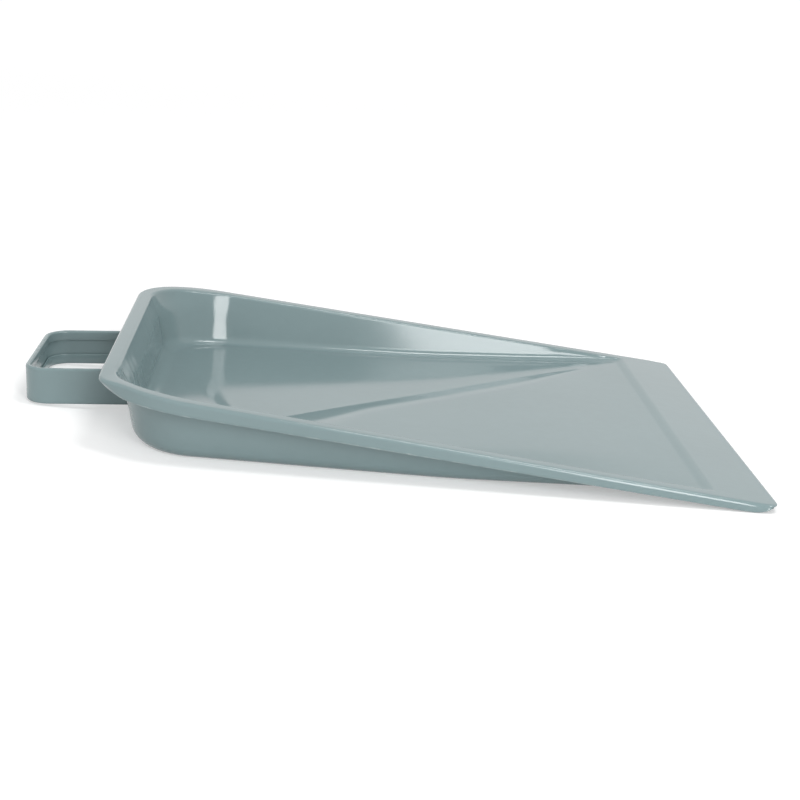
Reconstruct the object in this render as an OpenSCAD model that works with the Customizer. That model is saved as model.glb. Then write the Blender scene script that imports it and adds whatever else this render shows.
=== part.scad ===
// Sheet-steel dustpan with a strap handle.
// The pan is one deep-drawn pressing: a bowl that is deep at the back and runs out to a flat
// lip at the front, with a level rim round the back and sides and a skirt turned down from it.
// The handle is one hemmed strap bent to a loop. Its two feet are spot-welded to the back wall.
// +X points to the front lip, +Y to the left side, +Z up. The origin is on the ground, in the
// middle of the length from the grip to the front edge.

/* [Pan] */
// Length from the back edge of the rim to the front edge
pan_l = 350; // [300:5:420]
// Width across the rim at the back
pan_back_w = 273; // [240:1:300]
// Width across the rim at the front edge
pan_front_w = 301; // [270:1:330]
// Plan radius of the two back corners, at the rim's outer edge
corner_r = 50; // [44:1:70]
// Plan radius of the two front corners
front_corner_r = 8; // [4:0.5:14]
// Thickness of the pan's steel sheet
sheet_t = 1; // [0.6:0.1:1.5]

/* [Rim] */
// Height of the rim's top above the ground at the back edge
rim_back_h = 37.8; // [32:0.1:50]
// Height of the rim's top above the ground at the front edge
rim_front_h = 4; // [3.5:0.1:6]
// Width of the flat rim, from its outer edge to the wall
rim_w = 10; // [8:0.5:14]
// Outer radius of the bends on both sides of the rim
bend_r = 2; // [1.6:0.1:2.5]
// Depth of the turned-down skirt at the back
skirt_back_h = 7.6; // [5:0.1:10]
// Clearance between the ground and the skirt's lowest point, near the front corners
skirt_clear = 0.4; // [0:0.1:1.5]
// Length over which each end of the skirt rounds up to the front corner
skirt_end_l = 12; // [8:0.5:18]

/* [Bowl] */
// How far the side walls lean in from top to bottom
side_lean = 2.5; // [0.5:0.1:5]
// How far the back wall leans in from top to bottom
back_lean = 6; // [3:0.1:10]
// Radius of the fillet between the back wall and the floor
fillet_r = 9; // [6:0.5:12]
// Radius of the fillet between a side wall and the floor
side_fillet_r = 5.5; // [4:0.5:12]
// Width of the flat lip at the front edge
lip_w = 31; // [22:0.5:40]
// Length of the soft step down from the lip
step_l = 7; // [4:0.5:10]
// Depth of the floor below the rim at the foot of that step
step_h = 2; // [1:0.1:2.5]
// Length of the ramp that climbs from the level floor to the step
ramp_l = 130; // [90:1:160]
// Height of the soft diagonal break in the floor
break_h = 1.2; // [0:0.1:2]
// How far the break is moved to the left of the floor's diagonal, as a share of half its width
break_bow = 0.14; // [0:0.01:0.2]

/* [Handle] */
// Outer width of the handle loop
handle_w = 94; // [84:1:120]
// How far the grip stands out behind the rim
handle_reach = 50; // [40:1:80]
// Outer radius of the loop's two corners
handle_r = 14; // [9:0.5:20]
// Height of the strap
strap_h = 20.4; // [16:0.1:22]
// Thickness of the strap's sheet
strap_t = 1.2; // [0.8:0.1:2]
// How far each hem comes back over the inner face
hem_w = 6; // [4:0.1:7]
// Gap inside each hem
hem_gap = 0.5; // [0.2:0.1:1]
// Distance from the end of a hem to the foot's bend
hem_stop = 2.5; // [1:0.1:6]
// How far the strap's edges are trimmed in past the hems' ends
hem_trim = 2; // [1.8:0.1:3]
// How far the faces of the trimmed, flattened web lie inside the strap's faces
web_set = 0.05; // [0.02:0.01:0.1]
// Slope of the strap down to the grip, in degrees
handle_slope = 3.5; // [0:0.1:5]
// Clearance between the grip's lower edge and the ground
grip_clear = 0.4; // [0.2:0.1:3]
// Inside radius of the bend between a leg and its foot
foot_bend_r = 2.5; // [1.5:0.1:5]
// Length of the flat foot at the end of each leg
foot_l = 27; // [24:0.5:32]
// Radius of a foot's two free corners
foot_corner_r = 3; // [1:0.5:5]

/* [Welds] */
// Diameter of a spot weld
weld_d = 6; // [4:0.5:8]
// Distance between the two welds of a foot
weld_pitch = 15; // [10:0.5:18]
// Distance from a foot's free end to the rim of its first weld
weld_end = 3; // [2:0.5:5]
// Height of the welds on a foot, as a share of the foot's height
weld_rise = 0.6; // [0.5:0.05:0.7]
// Thickness of weld metal between foot and wall
weld_t = 0.15; // [0.1:0.05:0.3]
// Depth of the round dimple that the electrode leaves in a foot
dimple_h = 0.3; // [0.1:0.05:0.5]

/* [Hidden] */
paint = [0.56, 0.63, 0.64];
weld_grey = [0.45, 0.5, 0.51];
$fn = 64;

// Places along X from the rim's back edge, where it is zero, to the front edge
origin_x = (pan_l - handle_reach) / 2;
step_top_x = pan_l - lip_w;
step_foot_x = step_top_x - step_l;
ramp_foot_x = step_foot_x - ramp_l;

// Heights of the rim's top and of the floor's top
function rim_z(x) = rim_back_h + (rim_front_h - rim_back_h) * x / pan_l;
floor_z = sheet_t;
step_foot_z = rim_z(step_foot_x) - step_h;
function ease(u) = let (c = min(max(u, 0), 1)) c * c * (3 - 2 * c);
function ramp_z(x) = floor_z + (step_foot_z - floor_z) * max(x - ramp_foot_x, 0) / ramp_l;
function bowl_z(x) = let (s = ease((x - step_foot_x) / step_l))
    x >= step_top_x ? rim_z(x) : (1 - s) * ramp_z(x) + s * rim_z(x);

// The skirt's lower edge runs straight down to the front and rounds up over its last stretch
skirt_tip_h = 0.5;
skirt_front_a = 30;
skirt_front_x = pan_l - front_corner_r * (1 - sin(skirt_front_a));
skirt_low_x = skirt_front_x - skirt_end_l;
skirt_back_z = rim_back_h - skirt_back_h;
function skirt_h(x) =
    let (h = rim_z(x) - skirt_back_z - (skirt_clear - skirt_back_z) * x / skirt_low_x,
         u = min(max((x - skirt_low_x) / skirt_end_l, 0), 1))
    skirt_tip_h + (h - skirt_tip_h) * sqrt(1 - u * u);

// Plan of the rim's outer edge: a side line that flares by side_a, and the back corner's arc
side_a = atan2((pan_front_w - pan_back_w) / 2, pan_l);
corner_y = pan_back_w / 2 + tan(side_a) * corner_r - corner_r / cos(side_a);
function side_y(x) = pan_back_w / 2 + tan(side_a) * x;

// Cross-section from the skirt's lower edge (ring 0) to the floor's edge (last ring).
// Each ring is [kind, place]: the stretch it belongs to and how far along that it lies, in
// degrees round a bend or as a share of the flat rim.
bend_steps = [0, 45, 90];
flat_steps = [1 / 3, 2 / 3];
fillet_cells = 4;
fillet_start_a = atan(back_lean / (rim_back_h - fillet_r));
fillet_steps = [for (i = [0 : fillet_cells])
    fillet_start_a + (90 - fillet_start_a) * i / fillet_cells];
SKIRT = 0;
RIM_BEND = 1;
FLAT = 2;
WALL_BEND = 3;
FILLET = 4;
rings = concat([[SKIRT, 0]],
               [for (a = bend_steps) [RIM_BEND, a]],
               [for (u = flat_steps) [FLAT, u]],
               [for (a = bend_steps) [WALL_BEND, a]],
               [for (a = fillet_steps) [FILLET, a]]);
m = len(rings) - 1;
flat_end_ring = len(bend_steps) + len(flat_steps) + 1;
wall_top_ring = flat_end_ring + len(bend_steps) - 1;
wall_foot_ring = wall_top_ring + 1;
// The wall's run and its fillet's radius go from the side's to the back's, by a share w
function lean_at(w) = side_lean + (back_lean - side_lean) * w;
function fillet_at(w) = side_fillet_r + (fillet_r - side_fillet_r) * w;
// Distance in from the rim's outer edge
function ring_in(e, w) = let (k = rings[e][0], v = rings[e][1])
    k == SKIRT ? 0 :
    k == RIM_BEND ? bend_r * (1 - cos(v)) :
    k == FLAT ? bend_r + (rim_w - 2 * bend_r) * v :
    k == WALL_BEND ? rim_w - bend_r * (1 - sin(v)) :
    rim_w + lean_at(w) + fillet_at(w) * (cos(fillet_start_a) - cos(v));
// Drop below the rim's top, where the bowl is deep by h and the skirt by s
skirt_bend_share = 0.6;
wall_bend_share = 0.12;
fillet_share = 0.72;
function ring_drop(e, h, s, w) =
    let (k = rings[e][0], v = rings[e][1],
         b = min(bend_r, wall_bend_share * h), f = min(fillet_at(w), fillet_share * h))
    k == SKIRT ? s :
    k == RIM_BEND ? min(bend_r, skirt_bend_share * s) * (1 - sin(v)) :
    k == FLAT ? 0 :
    k == WALL_BEND ? b * (1 - cos(v)) :
    h - f * (1 - sin(v));

// Stations along a side, front to back: lip, step, floor, then the first half of the corner
lip_shares = [0, 0.1, 0.22, 0.38, 0.65];
lip_stations = [for (u = lip_shares) pan_l - lip_w * u];
step_cells = 3;
step_stations = [for (i = [0 : step_cells - 1]) step_top_x - step_l * i / step_cells];
floor_cells = 16;
arc_cells = 3;
straight_cells = floor_cells - arc_cells;
floor_stations = [for (i = [0 : straight_cells])
    step_foot_x + (corner_r - step_foot_x) * i / straight_cells];
stations = concat(lip_stations, step_stations, floor_stations);
i_step = len(lip_stations) + step_cells;
i_arc = len(stations) - 1;
i_back = i_arc + arc_cells;
cross_cells = 16;

// A ring's plan point at corner angle a: 0 on the side, 90 on the back
function corner_pt(e, a) =
    let (t = 90 + side_a + (90 - side_a) * a / 90, r = corner_r - ring_in(e, ease(a / 90)))
    [corner_r + r * cos(t), corner_y + r * sin(t)];
// A ring's end at the front: round the front corner, then along the front edge
function front_pt(e) =
    let (a = skirt_front_a + (90 - skirt_front_a) * e / flat_end_ring,
         from = ring_in(flat_end_ring, 0), to = ring_in(m, 0),
         u = (ring_in(e, 0) - from) / (to - from), r = front_corner_r)
    e <= flat_end_ring ? [pan_l - r * (1 - sin(a)), pan_front_w / 2 - r * (1 - cos(a))] :
    [pan_l, pan_front_w / 2 - r - (to - r) * u];
// Points of one half, on the +Y side. s counts stations, past i_arc round the back corner.
// Over the lip's front half the rings bend to their ends at the front.
function side_pt(e, s) =
    s > i_arc ? corner_pt(e, 45 * (s - i_arc) / (arc_cells + m - e)) :
    let (d = ring_in(e, 0) / cos(side_a), x = stations[s],
         w = pow(max(2 * (x - step_top_x) / lip_w - 1, 0), 2))
    [x, side_y(x) - d] + w * (front_pt(e) - [pan_l, side_y(pan_l) - d]);
// c counts from the middle of the corner (0) to the level part of the back
function back_pt(e, c) = let (n = arc_cells + m - e)
    c < n ? corner_pt(e, 45 + 45 * c / n) :
    let (p = corner_pt(e, 90), u = (c - n) / (cross_cells / 2 - arc_cells))
    [p[0], p[1] * (1 - u)];

// The break runs from the left front corner of the floor to the right back one. It is steep
// towards the left back, over one cell, and fades gently the other way.
break_start_cells = 4;
function break_z(i, k) =
    let (c = i - i_step, top = cross_cells - c - 1)
    c <= 0 || k <= 0 || k > top ? 0 : break_h * min(c / break_start_cells, 1) * k / top;

// Share of the back at a plan point: 0 beside the straight side, 1 along the back
function back_share(p) = let (y = abs(p[1]) - corner_y)
    p[0] >= corner_r ? 0 : y <= 0 ? 1 :
    ease((atan2(y, p[0] - corner_r) - 90 - side_a) / (90 - side_a));

function mirror_y(p) = [p[0], -p[1]];
// Plan point of grid node i (front to back), r rings out from the floor's edge
function half_pt(i, r) =
    let (q = i - i_back)
    r > q ? side_pt(m - r, i) : back_pt(m - q, q - r);
function floor_pt(i, k) =
    let (edge = side_pt(m, i), even = 1 - 2 * k / cross_cells,
         v = even - break_bow * (1 - even * even))
    i <= i_arc ? [edge[0], -edge[1] * v] :
    let (w = (i - i_arc) / arc_cells, end = side_pt(m, i_back), b = across(m, k))
    [(1 - w) * edge[0] + w * (b[0] + edge[0] - end[0]),
     (1 - w) * -edge[1] * v + w * b[1] * edge[1] / end[1]];
// Back run of a ring, from the right corner's middle (k = 0) to the left one's
function across(e, k) =
    let (n = m - e, h = cross_cells / 2)
    k <= h ? mirror_y(back_pt(e, k + n)) : back_pt(e, cross_cells - k + n);
function grid_pt(i, j) =
    let (k = j - m, q = i - i_back)
    k < 0 ? mirror_y(half_pt(i, -k)) :
    k > cross_cells ? half_pt(i, k - cross_cells) :
    q > 0 ? across(m - q, k) : floor_pt(i, k);
function grid_ring(i, j) =
    let (k = j - m, side = k < 0 ? -k : max(k - cross_cells, 0))
    m - max(side, i - i_back, 0);
function surface_pt(i, j) =
    let (p = grid_pt(i, j), e = grid_ring(i, j), k = j - m, x = p[0],
         h = rim_z(x) - bowl_z(x),
         up = e == m && k >= 0 && k <= cross_cells && i <= i_back ? break_z(i, k) : 0)
    [x - origin_x, p[1], rim_z(x) - ring_drop(e, h, skirt_h(x), back_share(p)) + up];

rows = i_back + m;
cols = 2 * m + cross_cells;
outer = [for (i = [0 : rows]) [for (j = [0 : cols]) surface_pt(i, j)]];
function unit(v) = v / norm(v);

// The sheet's other side lies sheet_t below, along the normal between neighbouring nodes
function under_pt(i, j) =
    let (du = outer[min(i + 1, rows)][j] - outer[max(i - 1, 0)][j],
         dv = outer[i][min(j + 1, cols)] - outer[i][max(j - 1, 0)])
    outer[i][j] - sheet_t * unit(cross(dv, du));
under = [for (i = [0 : rows]) [for (j = [0 : cols]) under_pt(i, j)]];

module pan() {
    w = cols + 1;
    n = (rows + 1) * w;
    points = concat([for (r = outer) each r], [for (r = under) each r]);
    tops = [for (i = [0 : rows - 1], j = [0 : cols - 1])
        let (a = i * w + j) each [[a, a + w, a + 1], [a + 1, a + w, a + w + 1]]];
    bottoms = [for (f = tops) [f[2] + n, f[1] + n, f[0] + n]];
    edge = concat([for (j = [0 : cols - 1]) [j + 1, j]],
                  [for (j = [0 : cols - 1]) [rows * w + j, rows * w + j + 1]],
                  [for (i = [0 : rows - 1]) [i * w, i * w + w]],
                  [for (i = [0 : rows - 1]) [i * w + w + cols, i * w + cols]]);
    walls = [for (s = edge) each [[s[0], s[1] + n, s[1]], [s[0], s[0] + n, s[1] + n]]];
    color(paint) polyhedron(points, concat(tops, bottoms, walls), convexity = 6);
}

// The back wall's outer face, between its two bends, in the plane through the part's middle
mid_col = m + cross_cells / 2;
wall_top = under[rows - wall_top_ring][mid_col];
wall_foot = under[rows - wall_foot_ring][mid_col];
wall_a = atan2(wall_foot[0] - wall_top[0], wall_top[2] - wall_foot[2]);

// The strap starts at the grip, in a frame that slopes up to the wall. Past its hems a leg is
// trimmed to its flat web, and the web, the bend and the foot are drawn in the wall's frame.
strap_start = [-origin_x - handle_reach + strap_h * sin(handle_slope), 0, grip_clear];
to_start = strap_start - wall_foot;
start_in = to_start[0] * cos(wall_a) + to_start[2] * sin(wall_a);
start_up = to_start[2] * cos(wall_a) - to_start[0] * sin(wall_a);
cut_a = wall_a - handle_slope;
// A point of the strap in the wall's frame: l along the leg from the grip, h up the strap
function strap_pt(l, h) =
    [start_in + l * cos(cut_a) + h * sin(cut_a), start_up - l * sin(cut_a) + h * cos(cut_a)];
// Length of a leg, at height h of the strap, up to where its bend begins
foot_t = strap_t - 2 * web_set;
bend_in = weld_t + foot_t + foot_bend_r;
function leg_l(h) = (-bend_in - start_in - h * sin(cut_a)) / cos(cut_a);
web_low = hem_trim;
web_high = strap_h - hem_trim;
// The foot's height and place are rounded, so that sums of them are exact too
function exact(v) = round(v * 1000) / 1000;
foot_h = exact((web_high - web_low) / cos(cut_a));
foot_up = exact(strap_pt(leg_l(web_low), web_low)[1]);
foot_y = handle_w / 2 - web_set - foot_t - foot_bend_r;
// The hemmed stretch ends at a cut parallel to the wall
hem_cut = -bend_in - hem_stop;
hem_t = 2 * strap_t + hem_gap;
// The trimmed web starts this far inside the hemmed stretch, so that the two are one solid
lap = 0.5;
web_drop = (hem_stop + lap) * tan(cut_a);

module on_slope() {
    translate(strap_start) rotate([0, -handle_slope, 0]) children();
}

module on_wall() {
    translate(wall_foot) rotate([0, -wall_a, 0]) children();
}

// One hem: the sheet folded back over the inner face
module hem_section() {
    difference() {
        union() {
            translate([hem_t / 2, hem_t / 2]) circle(d = hem_t);
            translate([0, hem_t / 2]) square([hem_t, hem_w - hem_t / 2]);
        }
        translate([hem_t / 2, hem_t / 2]) circle(d = hem_gap);
        translate([strap_t, hem_t / 2]) square([hem_gap, hem_w]);
    }
}

// Section across the strap: outer face at x = 0, inner face towards +x, lower edge at y = 0
module strap_section() {
    hem_section();
    translate([0, strap_h]) mirror([0, 1]) hem_section();
    translate([0, hem_w]) square([strap_t, strap_h - 2 * hem_w]);
}

module leg() {
    translate([handle_r, handle_w / 2, 0]) rotate([90, 0, 90])
        linear_extrude(leg_l(0) - handle_r) mirror([1, 0]) strap_section();
}

module hemmed_leg() {
    difference() {
        on_slope() leg();
        on_wall() translate([hem_cut, handle_w / 2 - strap_h, -strap_h])
            cube([strap_h, 2 * strap_h, 3 * strap_h]);
    }
}

module trimmed_web() {
    translate([0, handle_w / 2 - web_set, 0]) rotate([90, 0, 0]) linear_extrude(foot_t)
        polygon([[hem_cut - lap, foot_up + web_drop], [-bend_in, foot_up],
                 [-bend_in, foot_up + foot_h], [hem_cut - lap, foot_up + foot_h + web_drop]]);
}

module corner() {
    translate([handle_r, handle_w / 2 - handle_r, 0]) rotate([0, 0, 90])
        rotate_extrude(angle = 90) translate([handle_r, 0]) mirror([1, 0]) strap_section();
}

module grip() {
    translate([0, handle_w / 2 - handle_r, 0]) rotate([90, 0, 0])
        linear_extrude(handle_w - 2 * handle_r) strap_section();
}

// A foot's outline, from the bend to its rounded free end
module foot_outline() {
    square([foot_l - foot_corner_r, foot_h]);
    translate([0, foot_corner_r]) square([foot_l, foot_h - 2 * foot_corner_r]);
    for (z = [foot_corner_r, foot_h - foot_corner_r])
        translate([foot_l - foot_corner_r, z]) circle(foot_corner_r);
}

// Middles of the two welds of the left foot, in the wall's frame
weld_z = foot_up + foot_h * weld_rise;
weld_y = [for (i = [0, 1]) foot_y - foot_l + weld_end + weld_d / 2 + i * weld_pitch];

module foot() {
    translate([-bend_in, foot_y, foot_up]) rotate_extrude(angle = 90)
        translate([foot_bend_r, 0]) square([foot_t, foot_h]);
    difference() {
        translate([-weld_t, foot_y, foot_up]) rotate([90, 0, -90])
            linear_extrude(foot_t) foot_outline();
        for (y = weld_y)
            translate([-weld_t - foot_t, y, weld_z]) rotate([0, 90, 0])
                cylinder(h = 2 * dimple_h, d = weld_d, center = true);
    }
}

module handle() {
    color(paint) union() {
        on_slope() grip();
        for (s = [0, 1]) mirror([0, s, 0]) {
            on_slope() corner();
            hemmed_leg();
            on_wall() trimmed_web();
            on_wall() foot();
        }
    }
}

// One spot weld between a foot and the wall
module weld(side, i) {
    color(weld_grey) on_wall() translate([0, side * weld_y[i], weld_z]) rotate([0, -90, 0])
        cylinder(h = weld_t, d = weld_d);
}

pan();
handle();
weld(1, 0);  // weld_left_inner
weld(1, 1);  // weld_left_outer
weld(-1, 0);  // weld_right_inner
weld(-1, 1);  // weld_right_outer
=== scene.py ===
# %% [markdown]
# # A sheet-steel dustpan
# The object is two pieces of painted steel. The pan is one drawn pressing, deep at the back and
# flat at the front. The handle is one strap with hemmed edges, bent to a loop and spot-welded to the
# pan's back wall. This lesson builds both as surfaces worked out with numpy, then paints and lights
# them. It starts by loading the solid model, which fixes every size and place.

# %% Load the frame
import bpy
import numpy as np
from mathutils import Matrix, Vector


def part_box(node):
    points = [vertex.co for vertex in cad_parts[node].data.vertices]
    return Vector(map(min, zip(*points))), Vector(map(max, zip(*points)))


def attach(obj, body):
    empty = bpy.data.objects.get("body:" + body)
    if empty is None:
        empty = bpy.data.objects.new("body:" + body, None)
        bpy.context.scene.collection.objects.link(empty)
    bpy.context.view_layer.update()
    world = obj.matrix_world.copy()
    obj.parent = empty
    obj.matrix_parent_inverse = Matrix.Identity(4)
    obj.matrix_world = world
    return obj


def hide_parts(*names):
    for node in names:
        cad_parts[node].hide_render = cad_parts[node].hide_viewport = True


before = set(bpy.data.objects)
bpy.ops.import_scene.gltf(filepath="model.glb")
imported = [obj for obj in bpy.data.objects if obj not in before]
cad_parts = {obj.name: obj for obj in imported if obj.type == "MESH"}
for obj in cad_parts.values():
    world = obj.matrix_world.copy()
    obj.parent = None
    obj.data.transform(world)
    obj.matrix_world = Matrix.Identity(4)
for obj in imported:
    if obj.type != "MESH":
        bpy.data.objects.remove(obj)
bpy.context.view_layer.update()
pan_low, pan_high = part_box("pan")
MM = 0.001
print("nodes:", sorted(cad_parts))
print("pan box, mm:", [round(v / MM, 1) for v in (*pan_low, *pan_high)])

# %% [markdown]
# ## The camera
# The photograph was taken from the pan's right side, a little above the rim, with a long lens. The
# picture leans slightly, so the camera is rolled too. The place and the three directions below came
# from fitting the rim, the lip and the handle to the photograph. They are written in the frame in
# which X is zero at the rim's back edge.

# %% Camera
PHOTO_PIXELS, FOCAL_PIXELS, SENSOR = 800, 1700, 36.0
AZIMUTH, ELEVATION, ROLL = np.radians([3.972, 15.225, 5.141])
TARGET = np.array([162.1, 0.0, 5.3])
DISTANCE, CLIP_END = 996.4, 200
back_edge_x = pan_low.x / MM
scene = bpy.context.scene


def add_object(name, data):
    """An object with that data, in the scene."""
    item = bpy.data.objects.new(name, data)
    scene.collection.objects.link(item)
    return item


def camera_axes(azimuth, elevation, roll):
    """Right, up and forward directions: forward is turned by azimuth and dips by elevation, and the
    other two turn about it by roll."""
    forward = np.array([np.cos(elevation) * np.sin(azimuth), np.cos(elevation) * np.cos(azimuth),
                        -np.sin(elevation)])
    level = np.array([np.cos(azimuth), -np.sin(azimuth), 0.0])
    above = np.cross(level, forward)
    right = np.cos(roll) * level + np.sin(roll) * above
    up = -np.sin(roll) * level + np.cos(roll) * above
    return right, up, forward


right, up, forward = camera_axes(AZIMUTH, ELEVATION, ROLL)
place = TARGET - DISTANCE * forward + np.array([back_edge_x, 0, 0])
camera = add_object("camera", bpy.data.cameras.new("camera"))
camera.data.sensor_width = SENSOR
camera.data.lens = SENSOR * FOCAL_PIXELS / PHOTO_PIXELS
camera.data.clip_end = CLIP_END
turn = Matrix(np.array([right, up, -forward]).T.tolist())
camera.matrix_world = Matrix.Translation(Vector(place * MM)) @ turn.to_4x4()
scene.camera = camera
print("lens, mm:", camera.data.lens, " place, mm:", place.round(1))

# %% [markdown]
# ## Sizes
# The surfaces repeat the solid model's driving sizes, in millimetres. X runs from the rim's back
# edge, where it is zero, to the front edge, and is moved to the model's frame at the very end.

# %% Sizes of the pan
PAN_L, BACK_W, FRONT_W = 350.0, 273.0, 301.0
CORNER_R, FRONT_CORNER_R, SHEET_T = 50.0, 8.0, 1.0
RIM_BACK_H, RIM_FRONT_H, RIM_W, BEND_R = 37.8, 4.0, 10.0, 2.0
SKIRT_BACK_H, SKIRT_CLEAR, SKIRT_END_L = 7.6, 0.4, 12.0
SIDE_LEAN, BACK_LEAN, FILLET_R, SIDE_FILLET_R = 4.0, 6.0, 9.0, 5.5
LIP_W, STEP_L, STEP_H, RAMP_L = 31.0, 7.0, 2.0, 130.0
step_top_x = PAN_L - LIP_W
step_foot_x = step_top_x - STEP_L
ramp_foot_x = step_foot_x - RAMP_L
side_a = np.arctan2((FRONT_W - BACK_W) / 2, PAN_L)
corner_y = BACK_W / 2 + np.tan(side_a) * CORNER_R - CORNER_R / np.cos(side_a)
print("side flare, degrees:", round(float(np.degrees(side_a)), 2))

# %% [markdown]
# ## Heights
# The rim's top is one sloping plane. The floor is level at the back, then climbs a ramp, and a short
# soft step lifts it to the lip, which lies in the rim's plane. Real pressings turn softly from one
# slope to the next, so the ramp starts on a hyperbola and the step follows a smooth S.

# %% Height functions
RAMP_SOFT = 16.0


def ease(u):
    """0 below 0, 1 above 1, and 3u^2 - 2u^3 between."""
    u = np.clip(u, 0, 1)
    return u * u * (3 - 2 * u)


def rim_z(x):
    """A straight line from the back height to the front height."""
    return RIM_BACK_H + (RIM_FRONT_H - RIM_BACK_H) * x / PAN_L


def floor_z(x):
    """Level, then a ramp. The turn is (t + sqrt(t^2 + soft^2)) / 2, with t counted from the ramp's foot.
    Over the step's length it eases up to the rim's plane."""
    t = x - ramp_foot_x
    rise = (rim_z(step_foot_x) - STEP_H - SHEET_T) / RAMP_L
    soft = SHEET_T + rise * (t + np.sqrt(t * t + RAMP_SOFT**2)) / 2
    step = ease((x - step_foot_x) / STEP_L)
    return (1 - step) * soft + step * rim_z(x)


skirt_tip_h = 0.5
skirt_front_a = np.radians(30)
skirt_front_x = PAN_L - FRONT_CORNER_R * (1 - np.sin(skirt_front_a))
skirt_low_x = skirt_front_x - SKIRT_END_L
skirt_back_z = RIM_BACK_H - SKIRT_BACK_H


def skirt_h(x):
    """Depth of the skirt: its lower edge is a straight line that ends in a quarter ellipse."""
    h = rim_z(x) - skirt_back_z - (SKIRT_CLEAR - skirt_back_z) * x / skirt_low_x
    u = np.clip((x - skirt_low_x) / SKIRT_END_L, 0, 1)
    return skirt_tip_h + (h - skirt_tip_h) * np.sqrt(1 - u * u)


print("floor at the step's foot, mm:", round(float(floor_z(step_foot_x)), 2))

# %% [markdown]
# ## The section across the rim
# Seen from its lower edge inwards, the sheet goes up the skirt, round a tight bend, across the flat
# rim, round a second bend, down the wall and round a wide fillet into the floor. Each of these rings
# is a kind and a place along that kind. More rings go where the sheet turns.

# %% Rings of the section
SKIRT, RIM_BEND, FLAT, WALL_BEND, WALL, FILLET = range(6)
FRONT_LOW, BEND_SHARE, FILLET_SHARE, SKIRT_SHARE = 0.2, 0.12, 0.72, 0.6


def shares(cells, first=0):
    """Evenly spaced places from 0 to 1, leaving out the first ones that a neighbour already has."""
    return np.arange(first, cells + 1) / cells


stretches = [(SKIRT, shares(3)[:-1]), (RIM_BEND, shares(6)), (FLAT, shares(5, 1)[:-1]),
             (WALL_BEND, shares(6)), (WALL, shares(9, 1)[:-1]), (FILLET, shares(10))]
ring_kind = np.concatenate([np.full(len(at), kind) for kind, at in stretches])
ring_at = np.concatenate([at for kind, at in stretches])
last_ring = len(ring_kind) - 1
flat_end_ring = int(np.flatnonzero(ring_kind == WALL_BEND)[0])
print("rings across the rim and wall:", last_ring + 1)


def low_share(x):
    """How much of its full lean the side wall still has at x. Its angle stays the same as it gets
    lower, so this is its height as a share of the height at the back corner."""
    full = rim_z(CORNER_R) - floor_z(CORNER_R)
    return np.clip((rim_z(x) - floor_z(x)) / full, FRONT_LOW, 1.0)


def wall_of(share):
    """Lean and fillet radius of the wall, in straight lines from the side's (0) to the back's (1)."""
    return (SIDE_LEAN + (BACK_LEAN - SIDE_LEAN) * share,
            SIDE_FILLET_R + (FILLET_R - SIDE_FILLET_R) * share)


def ring_in(ring, share, low=1.0):
    """Distance in from the rim's outer edge. A bend of radius r turned by a lies r - r cos a or r sin a
    in, and the wall moves in by its lean on the way down."""
    kind, at = ring_kind[ring], ring_at[ring]
    lean, radius = wall_of(share)
    lean = lean * low
    draft = np.arctan(lean / (RIM_BACK_H - radius))
    bend_end = RIM_W - BEND_R + BEND_R * np.cos(draft)
    foot = RIM_W + lean
    turn = draft + (np.pi / 2 - draft) * at
    return np.select(
        [kind == SKIRT, kind == RIM_BEND, kind == FLAT, kind == WALL_BEND, kind == WALL],
        [0 * at, BEND_R * (1 - np.cos(at * np.pi / 2)), BEND_R + (RIM_W - 2 * BEND_R) * at,
         RIM_W - BEND_R + BEND_R * np.sin(at * (np.pi / 2 - draft)), bend_end + (foot - bend_end) * at],
        foot + radius * (np.cos(draft) - np.cos(turn)))


def ring_drop(ring, share, depth, skirt):
    """Drop below the rim's top where the bowl and the skirt are that deep. Bends and fillets shrink
    in proportion where the wall gets low."""
    kind, at = ring_kind[ring], ring_at[ring]
    lean, radius = wall_of(share)
    draft = np.arctan(lean / (RIM_BACK_H - radius))
    bend = np.minimum(BEND_R, BEND_SHARE * depth)
    fillet = np.minimum(radius, FILLET_SHARE * depth)
    outer = np.minimum(BEND_R, SKIRT_SHARE * skirt)
    top = bend * (1 - np.sin(draft))
    foot = depth - fillet * (1 - np.sin(draft))
    turn = draft + (np.pi / 2 - draft) * at
    return np.select(
        [kind == SKIRT, kind == RIM_BEND, kind == FLAT, kind == WALL_BEND, kind == WALL],
        [skirt + (outer - skirt) * at, outer * (1 - np.sin(at * np.pi / 2)), 0 * at,
         bend * (1 - np.cos(at * (np.pi / 2 - draft))), top + (foot - top) * at],
        depth - fillet * (1 - np.sin(turn)))


# %% [markdown]
# ## One grid for the whole pressing
# A pressing has no seams, so its surface is a single grid. Rows run from the lip to the back, columns
# from the right skirt to the left one. Round each back corner the rings bend, and the corner of the
# grid lands in the middle of the corner's arc, as on a square cake tin mapped to a round one.

# %% Stations of the grid
ARC_CELLS, STRAIGHT_CELLS, STEP_CELLS, CROSS_CELLS = 12, 96, 14, 140
lip_shares = np.array([0, 0.03, 0.07, 0.12, 0.18, 0.25, 0.33, 0.42, 0.52, 0.63, 0.74, 0.84, 0.93])
lip_x = PAN_L - LIP_W * lip_shares
step_x = step_top_x - STEP_L * np.arange(STEP_CELLS) / STEP_CELLS
floor_x = np.linspace(step_foot_x, CORNER_R, STRAIGHT_CELLS + 1)
station_x = np.concatenate([lip_x, step_x, floor_x])
i_arc = len(station_x) - 1
i_back = i_arc + ARC_CELLS
rows, cols = i_back + last_ring + 1, 2 * last_ring + CROSS_CELLS + 1
print("grid:", rows, "x", cols)


def side_y(x):
    """Half the rim's width at x."""
    return BACK_W / 2 + np.tan(side_a) * x


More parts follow.
